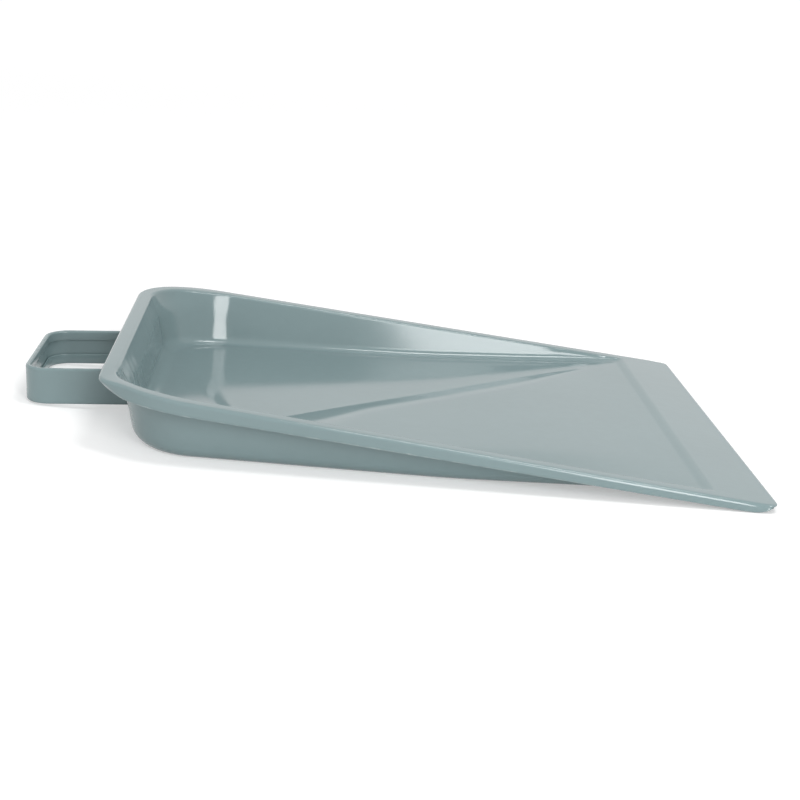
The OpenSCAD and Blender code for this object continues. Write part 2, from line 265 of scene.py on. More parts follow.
def corner_pt(ring, turn):
    """Plan point on the back corner's arc, with turn from 0 on the side to pi/2 on the back, and the
    share of the back wall's form there, which grows smoothly along the arc."""
    share = ease(2 * turn / np.pi)
    angle = np.pi / 2 + side_a + (np.pi / 2 - side_a) * 2 * turn / np.pi
    r = CORNER_R - ring_in(ring, share)
    return np.stack([CORNER_R + r * np.cos(angle), corner_y + r * np.sin(angle), share], -1)


def front_pt(ring):
    """Plan point where a ring ends at the front: round the small front corner, then along the edge."""
    a = skirt_front_a + (np.pi / 2 - skirt_front_a) * ring / flat_end_ring
    start, end = (ring_in(np.full_like(ring, at), 0, FRONT_LOW) for at in (flat_end_ring, last_ring))
    u = (ring_in(ring, 0, FRONT_LOW) - start) / (end - start)
    round_x = PAN_L - FRONT_CORNER_R * (1 - np.sin(a))
    round_y = FRONT_W / 2 - FRONT_CORNER_R * (1 - np.cos(a))
    straight_y = FRONT_W / 2 - FRONT_CORNER_R - (end - FRONT_CORNER_R) * u
    on_round = ring <= flat_end_ring
    return np.where(on_round, round_x, PAN_L), np.where(on_round, round_y, straight_y)


def side_pt(ring, station):
    """Plan point on the left half. Past the straight side the stations go round the corner's first
    half. Over the lip's front half a ring bends quadratically to its end."""
    round_corner = corner_pt(ring, np.pi / 4 * (station - i_arc) / (ARC_CELLS + last_ring - ring))
    x = station_x[np.minimum(station, i_arc)]
    y = side_y(x) - ring_in(ring, 0, low_share(x)) / np.cos(side_a)
    end_x, end_y = front_pt(ring)
    w = np.maximum(2 * (x - step_top_x) / LIP_W - 1, 0) ** 2
    line_y = FRONT_W / 2 - ring_in(ring, 0, FRONT_LOW) / np.cos(side_a)
    straight = np.stack([x + w * (end_x - PAN_L), y + w * (end_y - line_y), 0 * x], -1)
    return np.where((station > i_arc)[..., None], round_corner, straight)


def back_pt(ring, count):
    """Plan point counted from the middle of the left back corner (0) to the middle of the back."""
    n = ARC_CELLS + last_ring - ring
    arc = corner_pt(ring, np.pi / 4 * (1 + np.minimum(count / n, 1)))
    share = np.clip((count - n) / (CROSS_CELLS / 2 - ARC_CELLS), 0, 1)
    arc[..., 1] *= 1 - share
    return arc


def plan_grid():
    """Plan point, share of the back wall's form and ring number of every node. Each node is on a
    side ring, on a back ring, or on the floor, where rows blend from straight lines into the back
    edge."""
    i, j = np.meshgrid(np.arange(rows), np.arange(cols), indexing="ij")
    k = j - last_ring
    out = np.where(k < 0, -k, np.maximum(k - CROSS_CELLS, 0))
    behind = np.maximum(i - i_back, 0)
    ring = last_ring - np.maximum(out, behind)
    sign = np.where(k < CROSS_CELLS / 2, -1, 1)
    from_left = np.where(k < CROSS_CELLS / 2, k, CROSS_CELLS - k)
    side = side_pt(last_ring - out, np.minimum(i, i_back + out))
    back = back_pt(ring, np.maximum(from_left + behind, 0))
    foot = np.full_like(i, last_ring)
    edge, edge_end = side_pt(foot, np.minimum(i, i_back)), side_pt(foot, np.full_like(i, i_back))
    back_edge = back_pt(foot, np.maximum(from_left, 0))
    v = np.abs(1 - 2 * k / CROSS_CELLS)
    w = np.clip((i - i_arc) / ARC_CELLS, 0, 1)
    floor_pt = np.stack([
        (1 - w) * edge[..., 0] + w * (back_edge[..., 0] + edge[..., 0] - edge_end[..., 0]),
        (1 - w) * edge[..., 1] * v + w * back_edge[..., 1] * edge[..., 1] / edge_end[..., 1],
        0 * v], -1)
    on_side = (out > behind)[..., None]
    on_back = ((behind > 0) & (out <= behind))[..., None]
    plan = np.where(on_side, side, np.where(on_back, back, floor_pt))
    return plan[..., 0], sign * plan[..., 1], plan[..., 2], ring


plan_x, plan_y, plan_share, plan_ring = plan_grid()
print("widest, mm:", round(float(2 * plan_y.max()), 1))

# %% [markdown]
# ## The diagonal break
# Across the floor runs one soft fold, from the left front corner to the right back one. Its foot is
# crisp and its top soft. It grows from nothing at the front to a wide band more than 3 mm high at the
# right back. It was pressed or bent in use, and it shows because its slope mirrors the left wall. A
# bump texture would miss that mirror image, so the fold is a height added to the floor.

# %% Break in the floor
BREAK_MID = np.array([163.0, 20.9])
BREAK_SLOPE, BREAK_CURVE = 0.815, -0.0006
BREAK_TILT, BREAK_THIN, BREAK_WIDE, BREAK_WIDER, BREAK_SOFT = 0.115, 0.5, 16.5, 15.0, 0.4
WIDE_X, WIDE_L, WIDER_X, WIDER_L = step_foot_x - 10, 75, 150, 40
BREAK_END_X, BREAK_END_L, BREAK_SIDE_Y, BREAK_SIDE_L = 40, 60, -122, 45


def floor_break(x, y):
    """Height of the raised side. The foot is the parabola y = mid + slope t + curve t^2. The band gets
    wider towards the right back corner. Across it the height climbs at one tilt and then levels off on
    a parabola."""
    t = x - BREAK_MID[0]
    foot_y = BREAK_MID[1] + BREAK_SLOPE * t + BREAK_CURVE * t * t
    width = BREAK_THIN + BREAK_WIDE * ease((WIDE_X - x) / WIDE_L)
    width = width + BREAK_WIDER * ease((WIDER_X - x) / WIDER_L)
    u = (foot_y - y) * np.cos(np.arctan(BREAK_SLOPE)) / width
    climb = np.where(u < 1 - BREAK_SOFT, u, u - (u - 1 + BREAK_SOFT) ** 2 / (4 * BREAK_SOFT))
    profile = np.where(u < 1 + BREAK_SOFT, np.clip(climb, 0, 1), 1.0)
    ends = ease((x - BREAK_END_X) / BREAK_END_L) * ease((y - BREAK_SIDE_Y) / BREAK_SIDE_L)
    return BREAK_TILT * width * profile * ends


print("break at its middle's right side, mm:", round(float(floor_break(BREAK_MID[0], -60.0)), 2))

# %% [markdown]
# ## Small unevenness
# Thin sheet is never quite true. Long shallow waves of about a tenth of a millimetre run over the
# floor. In the back wall the draw left upright ripples, and four spot welds show through as flat spots,
# so the handle's sizes and the welds' places come first. Each kind of unevenness is a small function
# of its own, added to the smooth form at the end.

# %% Handle sizes and weld places
HANDLE_W, HANDLE_R, HANDLE_REACH = 94.0, 14.0, 50.0
STRAP_H, STRAP_T, HEM_W, HEM_GAP, HEM_STOP, HEM_TRIM, WEB_SET = 20.4, 1.2, 6.0, 0.5, 2.5, 2.0, 0.05
HANDLE_SLOPE, GRIP_CLEAR = np.radians(3.5), 0.4
FOOT_BEND_R, FOOT_L, FOOT_CORNER_R = 2.5, 27.0, 3.0
WELD_D, WELD_PITCH, WELD_END, WELD_T, DIMPLE_H = 6.0, 15.0, 3.0, 0.15, 0.3
FOOT_T = STRAP_T - 2 * WEB_SET
foot_y = HANDLE_W / 2 - WEB_SET - FOOT_T - FOOT_BEND_R
weld_y = foot_y - FOOT_L + WELD_END + WELD_D / 2 + np.array([0, WELD_PITCH])
weld_place = [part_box(n) for n in sorted(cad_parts) if n.startswith("weld")]
weld_z = float(np.mean([(low.z + high.z) / 2 for low, high in weld_place])) / MM
print("welds from the middle, mm:", weld_y.round(2), " height, mm:", round(weld_z, 2))

# %% Waves and wall marks
WAVE_H, RIPPLE_FINE, RIPPLE_WIDE, WELD_FLAT = 0.07, 0.09, 0.12, 0.25
RIPPLE_ZONES = ((1.0, -62.0, 20.0), (0.25, 42.0, 26.0))


def floor_waves(x, y):
    """A sum of three long sine waves in different directions, lifted so that it is never negative."""
    waves = (np.sin(x / 31 + y / 57) + 0.7 * np.sin(x / 19 - y / 43 + 1.7)
             + 0.5 * np.sin(-x / 83 + y / 23 + 0.6)) / 2.2
    return WAVE_H * (1 + waves)


def wall_marks(y, z):
    """Dent depth on the back wall: upright ripples of two widths in two zones, each a share, a middle
    and a spread, and a shallow round flat at each spot weld, as a Gaussian of the distance to it."""
    ripple = (RIPPLE_FINE * np.sin(y / 2.1 + 0.6 * np.sin(y / 9))
              + RIPPLE_WIDE * np.sin(y / 4.7 + 1.1 + z / 30))
    ripple *= sum(share * np.exp(-((y - middle) / spread) ** 2) for share, middle, spread in RIPPLE_ZONES)
    flats = sum(np.exp(-((np.abs(y) - centre) ** 2 + (z - weld_z) ** 2) / (WELD_D / 2) ** 2)
                for centre in weld_y)
    return ripple + WELD_FLAT * flats


print("wave on the floor's middle, mm:", round(float(floor_waves(ramp_foot_x, 0.0)), 3))

# %% [markdown]
# Use has bent the rim. Its right back corner is drawn out to a blunt point, with the skirt tucked in
# and shorter there, as after a fall on that corner. Along the back the rim bulges out a little, and
# more on its inner side.

# %% Bent rim
PULL, PULL_BEARING, PULL_BACK, PULL_SIDE, PULL_SKIRT, PULL_TUCK = 4.8, 29.0, 14.0, 9.5, 0.28, 3.2
PULL_FROM_Y, PULL_FADE, PULL_POWER = -40, 12, 1.5
PULL_INNER, INNER_BEARING, INNER_SPREAD, INNER_FADE = 1.2, 16.0, 13.0, 0.7
BACK_OUTER, BACK_INNER, WALL_FADE, CORNER_REACH = 1.3, 2.4, 0.45, 1.6


def corner_pull(x, y, inset):
    """How far the right back corner is drawn out, for the outer edge and for the inner one: each is a
    Gaussian of the bearing from the arc's centre, the outer one wider towards the back. The outer pull
    fades with the distance in from the edge. The inner one grows over the rim and ends on the wall."""
    bearing = np.degrees(np.arctan2(-y - corner_y, CORNER_R - x))
    spread = np.where(bearing < PULL_BEARING, PULL_BACK, PULL_SIDE)
    right = (x < CORNER_R) * (y < PULL_FROM_Y)
    outer = np.exp(-((bearing - PULL_BEARING) / spread) ** 2) * right
    inner = np.exp(-((bearing - INNER_BEARING) / INNER_SPREAD) ** 2) * right * ease(inset / RIM_W)
    inner = inner * (1 - ease((inset - RIM_W) / (INNER_FADE * BACK_LEAN)))
    return outer * np.clip(1 - np.maximum(inset - BEND_R, 0) / PULL_FADE, 0, 1) ** PULL_POWER, inner


def back_out(x, ring, share):
    """How far the rim lies out along the back, where its flat is narrower too: less at the outer edge,
    more at the inner one. On the wall it fades out above the handle's feet."""
    kind, at = ring_kind[ring], ring_at[ring]
    level = np.select([kind <= RIM_BEND, kind == FLAT, kind == WALL_BEND, kind == WALL],
                      [BACK_OUTER + 0 * at, BACK_OUTER + (BACK_INNER - BACK_OUTER) * ease(at),
                       BACK_INNER + 0 * at, BACK_INNER * (1 - ease(at / WALL_FADE))], 0 * at)
    return level * ease(CORNER_REACH * share) * (x < CORNER_R)


print("rim out along the back, mm:", BACK_OUTER, "to", BACK_INNER)

# %% [markdown]
# The same fall lifted the floor beside that corner, by less than 2 mm. At the left back corner the wall
# starts to turn early. In gloss paint that small change of angle gives one upright strip of mirrored
# light, so it is worked out as an angle that grows and falls.

# %% Bent floor and left wall
LIFT_SLOPE, LIFT_FROM, LIFT_SOFT, LIFT_LOW, LIFT_BACK = 0.028, 34.0, 8.0, -30.0, 75.0
LIFT_EDGE_X, LIFT_BEARING, LIFT_EASE, LIFT_WALL_X, LIFT_WALL_EASE = 60.5, 16.8, 13.0, RIM_W + 4, 14.0
LEFT_TURN, LEFT_START, LEFT_RISE, LEFT_FALL = 0.158, 57.4, 7.2, 18.0
LEFT_SWAY, LEFT_SWAY_Z, LEFT_FROM_Y, LEFT_EASE = 0.6, 3.4, 56.0, 30.0
INLAND_SIDE, INLAND_BACK, INLAND_STEP = 12, 14, 6


def corner_lift(x, y):
    """How far the floor lies up towards the right back corner. It rises on a hyperbola towards the
    right and falls again near the side wall. A slanting line bounds it to the front, and it eases out
    at the back wall's foot."""
    t = LIFT_FROM - y
    rise = LIFT_SLOPE * (t + np.sqrt(t * t + LIFT_SOFT**2)) / 2 * (1 - ease((LIFT_LOW - y) / LIFT_BACK))
    bearing = np.radians(LIFT_BEARING)
    inside = (LIFT_EDGE_X - x) * np.cos(bearing) - y * np.sin(bearing)
    return rise * ease(inside / LIFT_EASE) * ease((x - LIFT_WALL_X) / LIFT_WALL_EASE)


def left_turn(x, z):
    """How far the inner wall lies in at the left back corner, where it starts to turn early. Its extra
    angle grows in a straight line over the rise and falls in one over the fall, so the way in is the
    sum of two parabolas. The start sways a little with the height."""
    start = LEFT_START + LEFT_SWAY * np.sin(z / LEFT_SWAY_Z)
    rise = np.clip(start - x, 0, LEFT_RISE)
    fall = np.clip(start - LEFT_RISE - x, 0, LEFT_FALL)
    return LEFT_TURN * (rise**2 / (2 * LEFT_RISE) + fall - fall**2 / (2 * LEFT_FALL))


print("floor's lift on the middle line, mm:", round(float(corner_lift(CORNER_R, 0.0)), 2))

# %% [markdown]
# Everything is now added up on the grid, before the sheet gets its thickness. So the lower side
# follows each bend, as in real sheet.

# %% The sheet's upper side
def pan_surface():
    """The plan grid with its drop below the rim. On the floor the break, the waves and the lift are
    added, and on the back wall its marks. The rim's bends act along the line out from the corner's
    centre, and the left wall's early turn acts across the pan."""
    x, y, ring, share, kind = plan_x, plan_y, plan_ring, plan_share, ring_kind[plan_ring]
    depth = rim_z(x) - floor_z(x)
    inset = ring_in(ring, share)
    pull, pull_inner = corner_pull(x, y, inset)
    z = rim_z(x) - ring_drop(ring, share, depth, skirt_h(x) * (1 - PULL_SKIRT * pull))
    edge_y = side_y(x) - ring_in(np.full_like(ring, last_ring), 0)
    back_x = RIM_W + BACK_LEAN + FILLET_R
    inland = ease((edge_y - np.abs(y)) / INLAND_SIDE) * ease((x - back_x) / INLAND_BACK)
    inland = inland * ease((step_foot_x - x) / INLAND_STEP)
    z = z + inland * (floor_break(x, y) + floor_waves(x, y))
    z = z + (kind == FILLET) * corner_lift(x, y)
    wall = (kind == WALL) * (x < CORNER_R / 2) * (np.abs(y) < corner_y)
    x = x + wall * np.sin(np.pi * ring_at[ring]) * wall_marks(y, z)
    past = np.sign(y) * np.maximum(np.abs(y) - corner_y, 0)
    reach = np.maximum(np.hypot(CORNER_R - x, past), 1)
    out_x, out_y = (x - CORNER_R) / reach, past / reach
    tuck = PULL_TUCK * pull * (kind == SKIRT) * (1 - ring_at[ring])
    out = PULL * pull - tuck + PULL_INNER * pull_inner + back_out(x, ring, share)
    inner = ease((inset - RIM_W + BEND_R) / BEND_R) * ease((y - LEFT_FROM_Y) / LEFT_EASE)
    y = y - inner * left_turn(x, z) * (1 - ease(2 * share))
    return np.stack([x + out * out_x, y + out * out_y, z], -1)


upper = pan_surface()
print("upper side, mm:", upper.reshape(-1, 3).min(0).round(2), upper.reshape(-1, 3).max(0).round(2))

# %% [markdown]
# ## From a surface to a sheet
# The lower side lies one sheet thickness away along the surface's normal. Steps along the grid are
# made unit vectors before they are averaged, so that a long cell beside a short one doesn't tilt the
# normal. A rounded strip closes the cut edge all round.

# %% Sheet from a grid
EDGE_ROUND = 0.3


def unit(v):
    """Vectors of length one."""
    return v / np.maximum(np.linalg.norm(v, axis=-1, keepdims=True), 1e-12)


def grid_steps(points, axis):
    """Unit direction along a grid axis: the mean of the unit steps before and after each node."""
    step = unit(np.diff(points, axis=axis))
    first = np.take(step, [0], axis=axis)
    last = np.take(step, [-1], axis=axis)
    return unit(np.concatenate([first, step], axis) + np.concatenate([step, last], axis))


def grid_normals(points):
    """Cross product of the two grid directions."""
    return unit(np.cross(grid_steps(points, 1), grid_steps(points, 0)))


def border(points):
    """Nodes round the edge of a grid, in order, starting at the first corner."""
    return np.concatenate([points[0, :-1], points[:-1, -1], points[-1, :0:-1], points[:0:-1, 0]])


def sheet_mesh(points, thickness):
    """Vertices and quads of a closed sheet. Both sides share the grid's faces, and a half-round strip
    of two steps joins their borders."""
    n_i, n_j = points.shape[:2]
    normal = grid_normals(points)
    under = points - thickness * normal
    index = np.arange(n_i * n_j).reshape(n_i, n_j)
    quads = np.stack([index[:-1, :-1], index[:-1, 1:], index[1:, 1:], index[1:, :-1]], -1).reshape(-1, 4)
    count = n_i * n_j
    ring_a = border(index)
    out = np.zeros_like(points)
    out[0] -= grid_steps(points, 0)[0]
    out[-1] += grid_steps(points, 0)[-1]
    out[:, 0] -= grid_steps(points, 1)[:, 0]
    out[:, -1] += grid_steps(points, 1)[:, -1]
    out_edge = unit(border(out))
    top_edge, low_edge = border(points), border(under)
    flat = points.reshape(-1, 3).copy()
    flat[ring_a] = top_edge - EDGE_ROUND * out_edge
    low = under.reshape(-1, 3).copy()
    low[ring_a] = low_edge - EDGE_ROUND * out_edge
    mid_up = top_edge + 0.25 * (low_edge - top_edge)
    mid_low = top_edge + 0.75 * (low_edge - top_edge)
    n = len(ring_a)
    strips = [ring_a, 2 * count + np.arange(n), 2 * count + n + np.arange(n), count + ring_a]
    walls = [np.stack([np.roll(a, -1), a, b, np.roll(b, -1)], -1) for a, b in zip(strips, strips[1:])]
    vertices = np.concatenate([flat, low, mid_up, mid_low])
    faces = np.concatenate([quads, quads[:, ::-1] + count] + walls)
    return vertices, faces


vertices, faces = sheet_mesh(upper, SHEET_T)
print("pan:", len(vertices), "vertices,", len(faces), "quads")

# %% [markdown]
# ## Into Blender
# A helper turns arrays into a smooth-shaded mesh object with its place in its vertices. It measures
# the closed volume too: a negative one would mean that the faces point inwards.

# %% Mesh helper
def make_piece(name, points, quads, ends, floats):
    """A mesh object from points in mm, an array of quads, a list of end faces, and named values per
    point. Its volume is the sum over the triangles of a dot (b cross c), over six."""
    mesh = bpy.data.meshes.new(name)
    placed = (points + [back_edge_x, 0, 0]) * MM
    mesh.from_pydata(placed.tolist(), [], quads.tolist() + ends)
    for key, values in floats.items():
        mesh.attributes.new(key, "FLOAT", "POINT").data.foreach_set("value", values.astype(np.float32))
    mesh.shade_smooth()
    mesh.update()
    a, b, c, d = (points[quads[:, n]] for n in range(4))
    volume = (a * np.cross(b, c) + a * np.cross(c, d)).sum() / 6
    print(name, "volume from quads, cm3:", round(volume / 1000, 1))
    return add_object(name, mesh)


# %% [markdown]
# Two values go with each point of the pan, for its paint: how near the cut edge it is, where enamel
# is thin and a lighter colour is partly wear and partly a painted highlight, and how much it lies in
# the crumpled patch inside the right back corner, whose raised facets get a painted sheen.

# %% The pan's piece
BLOCKS, PAN_EDGE_REACH = 64, 4.0
CRUMPLE_Y, CRUMPLE_Z, CRUMPLE_WIDE, CRUMPLE_HIGH = -94.0, 22.0, 13.0, 11.0
CRUMPLE_END_X, CRUMPLE_TOP = 32.0, 35.0


def edge_nearness(points, edge_points, reach):
    """1 on the cut edge, falling to 0 at reach, from the distance to the nearest edge point. A squared
    distance is the two squared lengths less twice the dot product, and the points go in blocks."""
    squares = (edge_points**2).sum(1)
    gap = [((block**2).sum(1)[:, None] + squares - 2 * block @ edge_points.T).min(1)
           for block in np.array_split(points, BLOCKS)]
    return np.clip(1 - np.sqrt(np.maximum(np.concatenate(gap), 0)) / reach, 0, 1)


def crumpled_patch(points):
    """1 in the middle of the patch inside the right back corner, falling off like a soft-cornered
    rectangle: the exponential of minus the fourth powers. The rim and the floor stay out of it."""
    x, y, z = points.T
    patch = np.exp(-((y - CRUMPLE_Y) / CRUMPLE_WIDE) ** 4 - ((z - CRUMPLE_Z) / CRUMPLE_HIGH) ** 4)
    return patch * (x > RIM_W - BEND_R) * (x < CRUMPLE_END_X) * (z < CRUMPLE_TOP)


pan_values = {"edge": edge_nearness(vertices, border(upper), PAN_EDGE_REACH),
              "crumple": crumpled_patch(vertices)}
pan = make_piece("pan_pressing", vertices, faces, [], pan_values)
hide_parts("pan")
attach(pan, "root")

# %% [markdown]
# ## The handle's strap
# The strap is one section carried along a path: leg, corner, grip, corner, leg. Its section is a flat
# web whose two edges are folded back inside as hems, each with a thin gap. The path lies in a plane
# that slopes up to the pan, so the section is placed with that plane's own axes.

# %% Hemmed section
LIP_ROUND, LIP_GAP = 0.5, 0.1
WEB_STEPS, FOLD_STEPS, LIP_STEPS, GAP_STEPS = 8, 10, 6, 5
hem_t = 2 * STRAP_T + HEM_GAP


def arc(centre, radius, start, end, steps):
    """Points on a circle's arc, angles in degrees."""
    a = np.radians(np.linspace(start, end, steps + 1))
    return np.stack([centre[0] + radius * np.cos(a), centre[1] + radius * np.sin(a)], -1)


def hem_half():
    """Half of the closed section, from the middle of the outer face up round the hem to the middle of
    the inner face. The first number is depth from the outer face, the second is height."""
    middle, top = STRAP_H / 2, STRAP_H - hem_t / 2
    web_h = np.linspace(middle, top, WEB_STEPS + 1)
    outer = np.stack([0 * web_h, web_h], -1)[:-1]
    fold = arc((hem_t / 2, top), hem_t / 2, 180, 0, FOLD_STEPS)
    lip_low = STRAP_H - HEM_W
    lip = arc((STRAP_T + LIP_GAP + LIP_ROUND, lip_low + LIP_ROUND), LIP_ROUND, 0, -180, LIP_STEPS)
    inner = arc((hem_t / 2, top), HEM_GAP / 2, 0, 180, GAP_STEPS)
    web = np.stack([0 * web_h + STRAP_T, web_h], -1)[-2::-1]
    return np.concatenate([outer, fold, lip, inner, web])


upper_half = hem_half()
lower_half = (upper_half * [1, -1] + [0, STRAP_H])[::-1][1:-1]
section = np.concatenate([upper_half, lower_half])
print("section points:", len(section))

# %% [markdown]
# The path is computed in plan, with the direction that points into the loop at every station. The
# strap's sloping axes then turn plan and height into space.

# %% Strap along its path
LEG_STEPS, CORNER_STEPS, GRIP_STEPS = 24, 18, 20
start_x = -HANDLE_REACH + STRAP_H * np.sin(HANDLE_SLOPE)
strap_start = np.array([start_x, 0, GRIP_CLEAR])
along_leg = np.array([np.cos(HANDLE_SLOPE), 0, np.sin(HANDLE_SLOPE)])
up_strap = np.array([-np.sin(HANDLE_SLOPE), 0, np.cos(HANDLE_SLOPE)])
to_left = np.array([0, 1, 0])
back_draft = np.arctan(BACK_LEAN / (RIM_BACK_H - FILLET_R))
wall_x = np.array([RIM_W, RIM_W + BACK_LEAN])
wall_z = np.array([rim_z(RIM_W) - BEND_R, SHEET_T + FILLET_R * (1 - np.sin(back_draft))])
wall_a = np.arctan2(wall_x[1] - wall_x[0], wall_z[0] - wall_z[1])
wall_in = np.array([np.cos(wall_a), 0, np.sin(wall_a)])
wall_up = np.array([-np.sin(wall_a), 0, np.cos(wall_a)])
wall_foot = np.array([wall_x[1], 0, wall_z[1]]) - SHEET_T * wall_in
cut_a = wall_a - HANDLE_SLOPE
bend_in = WELD_T + FOOT_T + FOOT_BEND_R
start_in = (strap_start - wall_foot) @ wall_in


def leg_l(height, wall_gap=0.0):
    """Length of a leg at that height of the strap, up to a plane parallel to the wall that lies
    wall_gap before the bend's start."""
    return (-bend_in - wall_gap - start_in - height * np.sin(cut_a)) / np.cos(cut_a)


def strap_path():
    """Plan points of the strap's outer face and the directions into the loop, from the left leg's end
    round the grip to the right one's. The legs are one unit long here."""
    half = HANDLE_W / 2
    centre = np.array([HANDLE_R, half - HANDLE_R])
    on_leg, on_grip = np.ones(LEG_STEPS), np.ones(GRIP_STEPS)
    leg = np.stack([HANDLE_R + np.linspace(1, 0, LEG_STEPS + 1)[:-1], half * on_leg], -1)
    corner = arc(centre, HANDLE_R, 90, 180, CORNER_STEPS)
    grip = np.stack([0 * on_grip, np.linspace(centre[1], 0, GRIP_STEPS + 1)[1:]], -1)
    left = np.concatenate([leg, corner, grip])
    into = np.concatenate([np.stack([0 * on_leg, -on_leg], -1), unit(centre - corner),
                           np.stack([on_grip, 0 * on_grip], -1)])
    flip = np.array([1, -1])
    return np.concatenate([left, (left * flip)[-2::-1]]), np.concatenate([into, (into * flip)[-2::-1]])


def tube_faces(stations, around):
    """Quads of a closed section carried along a path."""
    index = np.arange(stations * around).reshape(stations, around)
    a, b = index[:-1], index[1:]
    return np.stack([a, b, np.roll(b, -1, 1), np.roll(a, -1, 1)], -1).reshape(-1, 4)


path, into = strap_path()
depth, height = section[:, 0], section[:, 1]
plan = path[:, None] + depth[None, :, None] * into[:, None]
on_leg = np.maximum(path[:, :1] - HANDLE_R, 0)
plan[..., 0] += on_leg * (leg_l(height, HEM_STOP)[None] - HANDLE_R - 1)
strap_points = (strap_start + plan[..., :1] * along_leg + plan[..., 1:] * to_left
                + height[None, :, None] * up_strap)
print("strap:", strap_points.shape)

# %% [markdown]
# ## The handle's feet
# Past its hems the strap is trimmed to its flat web. The web bends inwards by a right angle and lies
# flat against the sloping back wall. The two long edges of web, bend and foot are computed as lines,
# and the surface is ruled between them. On the foot the electrodes left a round dimple at each weld.

# %% Web, bend and foot
WEB_ACROSS, WEB_OVERLAP = 26, 0.3


def foot_lines():
    """Lower and upper edge of the outer face, and the direction into the sheet, from the hem's end to
    the foot's free end. The free end's corners are quarter circles."""
    low, high = HEM_TRIM, STRAP_H - HEM_TRIM
    n_web, n_bend, n_foot, n_round = 8, 12, 36, 8
    s = np.linspace(0, 1, n_web)[:, None]

    def leg_line(h):
        length = leg_l(h, HEM_STOP + WEB_OVERLAP) * (1 - s) + leg_l(h) * s
        return strap_start + length * along_leg + h * up_strap + (HANDLE_W / 2 - WEB_SET) * to_left

    web_low, web_high = leg_line(low), leg_line(high)
    low_up, high_up = (web_low[-1] - wall_foot) @ wall_up, (web_high[-1] - wall_foot) @ wall_up
    a = np.linspace(0, np.pi / 2, n_bend + 1)[1:, None]
    radius = FOOT_BEND_R + FOOT_T
    bend = wall_foot + (radius * np.sin(a) - bend_in) * wall_in + (foot_y + radius * np.cos(a)) * to_left
    bend_into = -np.sin(a) * wall_in - np.cos(a) * to_left
    run = FOOT_L - FOOT_CORNER_R
    rounding = FOOT_CORNER_R * np.sin(np.linspace(0, np.pi / 2, n_round + 1)[1:])
    out = np.concatenate([np.linspace(0, run, n_foot + 1)[1:], run + rounding])[:, None]
    lift = FOOT_CORNER_R - np.sqrt(FOOT_CORNER_R**2 - np.maximum(out - run, 0) ** 2)
    foot = wall_foot - WELD_T * wall_in + (foot_y - out) * to_left
    lows = np.concatenate([web_low, bend + low_up * wall_up, foot + (low_up + lift) * wall_up])
    highs = np.concatenate([web_high, bend + high_up * wall_up, foot + (high_up - lift) * wall_up])
    inward = np.concatenate([0 * s - to_left, bend_into, 0 * out - wall_in])
    return lows, highs, inward


def foot_points(side):
    """The closed section is a thin rectangle. The dimples are smooth round dents in the face that looks
    away from the wall: the exponential of minus the sixth power of the distance to each weld."""
    lows, highs, inward = foot_lines()
    across = np.linspace(0, 1, WEB_ACROSS)
    h = np.concatenate([across, across[::-1]])[:, None]
    d = np.repeat([0, FOOT_T], WEB_ACROSS)[:, None]
    points = lows[:, None] + h * (highs - lows)[:, None] + d * inward[:, None]
    y, z = points[..., 1], points[..., 2]
    near = sum(np.exp(-(((y - centre) ** 2 + (z - weld_z) ** 2) / (WELD_D / 2) ** 2) ** 3)
               for centre in weld_y)
    points = points - DIMPLE_H * near[..., None] * (d > 0) * inward[:, None]
    return points * [1, side, 1]


feet = [foot_points(side) for side in (1, -1)]
print("foot:", feet[0].shape)

# %% [markdown]
# The strap and the two feet are closed surfaces that overlap by a fraction of a millimetre where the
# hems stop, and they are joined to one mesh. The feet are mirror images, so one of the two has its
# faces turned round to point outwards. The strap's two folds are lightened, partly as worn paint and
# partly as a painted highlight.

# %% Join the handle's surfaces
HANDLE_EDGE_REACH = 1.5


def capped(points, flip, offset):
    """Vertices, quads and the two end faces of a closed tube, numbered from the offset. flip turns the
    faces round."""
    stations, around = points.shape[:2]
    first = np.arange(around)
    ends = np.stack([first, (stations - 1) * around + first[::-1]])
    way = -1 if flip else 1
    quads = tube_faces(stations, around)
    return points.reshape(-1, 3), quads[:, ::way] + offset, (ends[:, ::way] + offset).tolist()


strap_count, foot_count = len(path) * len(section), feet[0].size // 3
surfaces = [capped(strap_points, False, 0), capped(feet[0], True, strap_count),
            capped(feet[1], False, strap_count + foot_count)]
tube_points, tube_quads, tube_ends = zip(*surfaces)
from_fold = np.tile(np.minimum(height, STRAP_H - height), len(path))
handle_edge = np.concatenate([np.clip(1 - from_fold / HANDLE_EDGE_REACH, 0, 1), np.zeros(2 * foot_count)])
handle = make_piece("handle_strap", np.concatenate(tube_points), np.concatenate(tube_quads),
                    sum(tube_ends, []), {"edge": handle_edge})
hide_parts("handle")
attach(handle, "root")

# %% [markdown]
# ## The paint
# The whole dustpan is one glossy blue-grey. Sprayed enamel has a faint orange-peel skin, drifts a
# little in tone, is thinner on cut edges and picks up fine scuffs. The lighter colour on cut edges and
# folds is partly wear and partly a painted highlight, and the crumpled patch gets a painted sheen.
# These effects are one node group, and each material gives it its own values. The shader itself
# stays in the material.

# %% Node helpers
def add_node(tree, kind, **values):
    """A node with some of its sockets or properties set by name."""
    node = tree.nodes.new(kind)
    for key, value in values.items():
        name = key.replace("_", " ")
        if name in node.inputs:
            node.inputs[name].default_value = value
        else:
            setattr(node, key, value)
    return node


def math_node(tree, operation, a, b=None, clamp=False):
    """A Math node whose operands are sockets or numbers."""
    node = tree.nodes.new("ShaderNodeMath")
    node.operation = operation
    node.use_clamp = clamp
    for socket, operand in zip(node.inputs, (a, b)):
        if operand is None:
            continue
        if isinstance(operand, (int, float)):
            socket.default_value = operand
        else:
            tree.links.new(operand, socket)
    return node.outputs[0]


def plus(tree, a, b):
    """The sum of two sockets or numbers."""
    return math_node(tree, "ADD", a, b)


def times(tree, a, b, clamp=False):
    """The product of two sockets or numbers."""
    return math_node(tree, "MULTIPLY", a, b, clamp)
